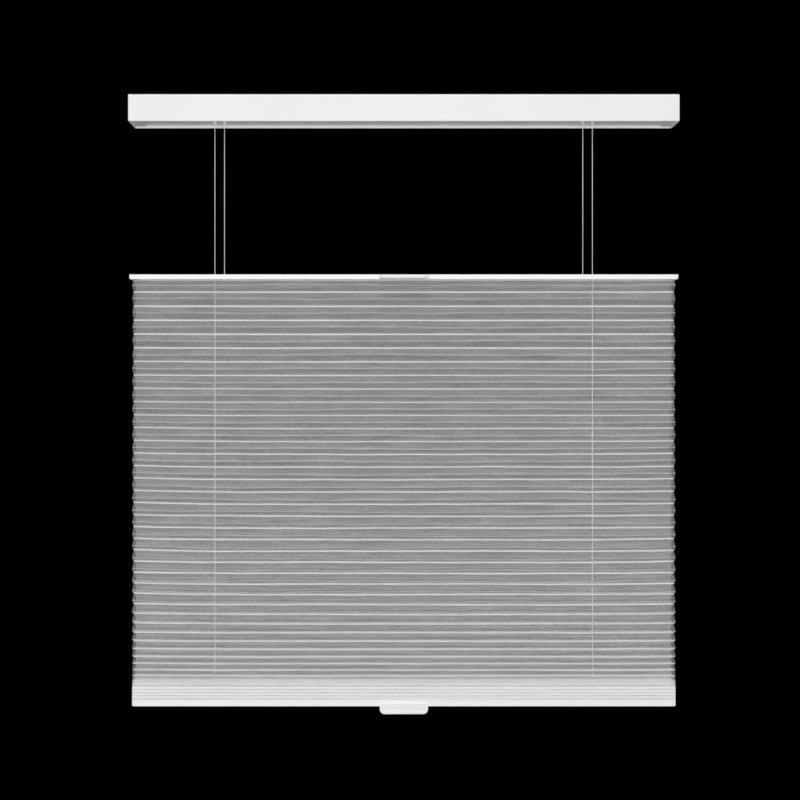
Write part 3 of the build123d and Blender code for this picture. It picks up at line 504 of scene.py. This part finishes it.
def cell_heights():
    """Open cells at the top, closing late on the way down to the few that lie stacked."""
    total = MID_BOTTOM - BOTTOM_TOP - 2 * FABRIC_GAP
    way_down = np.minimum(np.arange(1, CELL_COUNT) / (CELL_COUNT - STACK_CELLS), 1)
    share = 1 - EVEN_SAG * way_down - (1 - EVEN_SAG) * way_down**SAG_POWER
    heights = STACK_PITCH + (OPEN_PITCH - STACK_PITCH) * share
    return np.append(FIRST_CELL, heights * (total - FIRST_CELL) / heights.sum())


def waver(x):
    """A smooth random line along the blind, about 1 at its highest."""
    line = np.zeros_like(x)
    for order, length in enumerate(WAVES):
        line += np.sin(math.tau * x / length + random.uniform(0, math.tau)) / (1 + order)
    return line / 1.5


def fabric_lines(heights):
    """For each joint and each ridge, its offset from straight along the blind's width."""
    x = np.linspace(-FABRIC_WIDTH / 2, FABRIC_WIDTH / 2, STEPS_ACROSS + 1)
    bowl = 1 - (np.abs(x) / (FABRIC_WIDTH / 2)) ** SAG_REACH * np.where(x < 0, 1, RIGHT_RISE)
    fall = np.concatenate([[0], np.cumsum(heights)]) / heights.sum()
    joints, ridges = [], []
    for j in range(CELL_COUNT + 1):
        held = math.sin(math.pi * fall[j] ** 1.4)  # the rails hold the first and last joints straight
        joints.append(held * (waver(x) * JOINT_WAVER - CELL_SAG * (bowl - SAG_RISE)))
    for height in heights:
        loose = min(1.0, height / LOOSE_CELL)
        ridges.append((waver(x) * RIDGE_WAVER * loose, waver(x) * RIDGE_DEPTH_WAVER * loose))
    return x, joints, ridges


def facet(fall, reach):
    """Stations of one facet from joint to ridge: (depth out from the joint, fall, share, crease).
    A slack facet bows outwards, up where it falls towards its ridge and down where it rises."""
    chord = math.hypot(reach, fall)
    slack = math.sqrt(max(0.0, 3 / 8 * chord * (FACET_LENGTH - chord)))
    bow = min(slack, BOW_LIMIT * abs(fall))
    stations = []
    for share, crease in FACET_STEPS:
        lift = 4 * bow * share * (1 - share)
        depth = reach * share + lift * abs(fall) / chord
        drop = fall * share - lift * reach / chord * math.copysign(1, fall)
        stations.append((depth, drop, share, crease))
    return stations


def folded(stations, fall, reach, share_folded):
    """The stations of a facet that is pressed into the stack: flat near its joint, its ridge a round
    nose, and its cloth closed up."""
    turned = []
    for depth, drop, share, crease in stations:
        turn = share * math.pi / 2
        nose_depth = reach * math.sin(turn) ** (2 / NOSE_POWER)
        nose_drop = fall * (1 - abs(math.cos(turn)) ** (2 / NOSE_POWER))
        depth += (nose_depth - depth) * share_folded
        drop += (nose_drop - drop) * share_folded
        turned.append((depth, drop, share, max(crease, FOLDED_CREASE * share_folded)))
    return turned


def cell_stations(height, place):
    """One side of a cell from its top joint round the ridge to its bottom joint, as rows of
    (depth out, level below the top joint, how much it follows the ridge, crease)."""
    reach = min(math.sqrt(FACET_LENGTH**2 - min(height / 2, FACET_LENGTH) ** 2), REACH_LIMIT)
    droop = height * (1 / 2 + RIDGE_DROOP * place**DROOP_POWER)
    share_folded = min(max((FOLDING_PITCH - height) / (FOLDING_PITCH - STACK_PITCH), 0), 1)
    droop += (height / 2 - droop) * share_folded
    rows, rising = [], []
    for fall, side in ((droop - GLUE_HALF, rows), (droop + GLUE_HALF - height, rising)):
        side.extend(folded(facet(fall, reach), fall, reach, share_folded))
    upper = [(depth, GLUE_HALF + drop, share, crease) for depth, drop, share, crease in rows]
    low = height - GLUE_HALF
    lower = [(depth, low + drop, share, crease) for depth, drop, share, crease in reversed(rising[:-1])]
    return upper + lower


def woven(x, runs):
    """Faces and UVs of cloth whose points lie in rows along x, each row this far along the cloth."""
    across = len(x)
    faces, uvs = [], []
    for row in range(len(runs) - 1):
        for i in range(across - 1):
            here, below = row * across + i, (row + 1) * across + i
            faces.append((here, here + 1, below + 1, below))
            u, u_next = x[i] + FABRIC_WIDTH / 2, x[i + 1] + FABRIC_WIDTH / 2
            uvs += [(u, runs[row]), (u_next, runs[row]), (u_next, runs[row + 1]), (u, runs[row + 1])]
    return faces, uvs


def cell_mesh(x, top, height, place, top_line, bottom_line, ridge_line):
    """Points, faces, UVs and creases of one cell: a strip of cloth folded into a tube, with its two
    long edges meeting in the glue at the top."""
    side = cell_stations(height, place)
    seam = (SEAM_HALF - GLUE_WIDTH / 2, GLUE_HALF, 0.0, 1.0)
    loop = [(-1, row) for row in [seam] + side] + [(1, row) for row in reversed([seam] + side)]
    rise, push = ridge_line
    rings, creases, runs, run, before = [], [], [], 0.0, None
    for way, (depth, level, follow, crease) in loop:
        share = level / height
        z = top - level + top_line * (1 - share) + bottom_line * share + rise * follow
        y = CORD_Y + way * (GLUE_WIDTH / 2 + depth + push * follow)
        rings.append(np.stack([x, y, z], axis=1))
        sharp = crease if way < 0 or follow < RIDGE_START else crease * BACK_CREASE
        creases.append(np.full_like(x, sharp))
        here = np.array([way * (GLUE_WIDTH / 2 + depth), level])
        run += 0.0 if before is None else float(np.hypot(*(here - before)))
        runs.append(run)
        before = here
    faces, uvs = woven(x, runs)
    return np.concatenate(rings), faces, uvs, np.concatenate(creases)


def blend_group(piece):
    """Bakes the piece's placement into its points."""
    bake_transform(piece)


def make_neck(name, node, body, low, high):
    """The cloth's end, folded up into the rail's slot and over its strip."""
    box_low, box_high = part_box(node)
    half = GLUE_WIDTH / 2 - NECK_INSET
    x = np.linspace(box_low.x, box_high.x, STEPS_ACROSS // 2)
    section = [(-half, low), (-half, high), (half, high), (half, low)]
    points = [(px, CORD_Y + y, z) for y, z in section for px in x]
    faces, uvs = woven(x, [row * NECK_STEP for row in range(len(section))])
    neck = make_piece(name, points, faces, "sheer_fabric")
    set_uv(neck.data, "cloth", uvs)
    set_crease(neck.data, np.ones(len(points)))
    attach(neck, body)
    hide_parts("honeycomb_fabric")


def make_fabric():
    heights = cell_heights()
    tops = MID_BOTTOM - FABRIC_GAP - np.concatenate([[0], np.cumsum(heights)])
    x, joints, ridges = fabric_lines(heights)
    strip_sheet = 4 * FACET_LENGTH + 2 * GLUE_WIDTH
    first = 0
    for number, count in enumerate(GROUPS, 1):
        points, faces, uvs, creases, base = [], [], [], [], 0
        for i in range(first, first + count):
            place = i / (CELL_COUNT - 1)
            made = cell_mesh(x, tops[i], heights[i], place, joints[i], joints[i + 1], ridges[i])
            points.append(made[0])
            faces += [tuple(base + v for v in face) for face in made[1]]
            uvs += [(u, v + i * strip_sheet) for u, v in made[2]]
            creases.append(made[3])
            base += len(made[0])
        name = f"honeycomb_cells_{number}"
        piece = make_piece(name, np.concatenate(points).tolist(), faces, "sheer_fabric")
        set_uv(piece.data, "cloth", uvs)
        set_crease(piece.data, np.concatenate(creases))
        last = first + count
        blend_group(piece)
        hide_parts("honeycomb_fabric")
        first = last
    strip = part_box("mid_rail_fabric_strip")[0].z
    make_neck("honeycomb_neck_top", "mid_rail_fabric_strip", "mid_rail", tops[0], strip)
    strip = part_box("bottom_rail_fabric_strip")[1].z
    make_neck("honeycomb_neck_bottom", "bottom_rail_fabric_strip", "bottom_rail", tops[-1], strip)


make_fabric()

# ---------------------------------------------------------------- floor and light

FLOOR_Z = -1.72  # clear of the bottom rail at its lowest
FLOOR_RADIUS = 0.95
FLOOR_THICKNESS = 0.03
FLOOR_TONES = ((0.66, 0.66, 0.65, 1), (0.72, 0.72, 0.71, 1))
AIM = (0, 0, -0.5)  # about the blind's middle
# Each light's place, aim, width and height, and watts.
LIGHTS = {
    "key": ((-0.2, -3.2, -0.5), AIM, (3.4, 1.6), 86),
    "left_fill": ((-3.0, -0.3, 0.2), AIM, (2.4, 2.0), 30),
    "right_fill": ((3.0, -0.3, 0.2), AIM, (2.4, 2.0), 30),
    "back_fill": ((0.3, 3.2, 0.2), AIM, (3.0, 2.2), 40),
    "top": ((0, 0, 2.2), AIM, (2.4, 2.4), 30),
    "upper_front": ((0, -1.4, 2.0), (0, 0, 0), (1.6, 0.8), 14),
}
CLOTH_LAYERS = 48  # that a ray may pass through
MAX_BOUNCES, DIFFUSE_BOUNCES = 16, 10  # enough for the white cells to light each other


def make_floor():
    middle = (0, 0, FLOOR_Z - FLOOR_THICKNESS / 2)
    bpy.ops.mesh.primitive_cylinder_add(
        vertices=128, radius=FLOOR_RADIUS, depth=FLOOR_THICKNESS, location=middle
    )
    floor = bpy.context.object
    floor.name = "floor"
    s = Shader("pale_floor")
    place = s.add("TexCoord").outputs["Object"]
    tint = s.blend(s.noise(place, 3.0, 3.0), *FLOOR_TONES)
    surface = s.add("BsdfPrincipled", None, {"Base Color": tint, "Roughness": 0.8})
    floor.data.materials.append(s.finish(surface.outputs[0]))


def area_light(name, place, aim, size, watts):
    data = bpy.data.lights.new(name, "AREA")
    data.shape = "RECTANGLE"
    data.size, data.size_y = size
    data.energy = watts
    light = bpy.data.objects.new(name, data)
    light.location = place
    light.rotation_euler = (Vector(aim) - Vector(place)).to_track_quat("-Z", "Y").to_euler()
    light.visible_camera = False
    bpy.context.scene.collection.objects.link(light)


def make_lights():
    for name, setting in LIGHTS.items():
        area_light(name, *setting)
    world = bpy.data.worlds.new("studio")
    world.use_nodes = True
    world.node_tree.nodes["Background"].inputs[0].default_value = (0, 0, 0, 1)
    scene = bpy.context.scene
    scene.world = world
    scene.view_settings.view_transform = "Standard"
    scene.cycles.transparent_max_bounces = CLOTH_LAYERS
    scene.cycles.max_bounces = MAX_BOUNCES
    scene.cycles.diffuse_bounces = DIFFUSE_BOUNCES


make_floor()
make_lights()
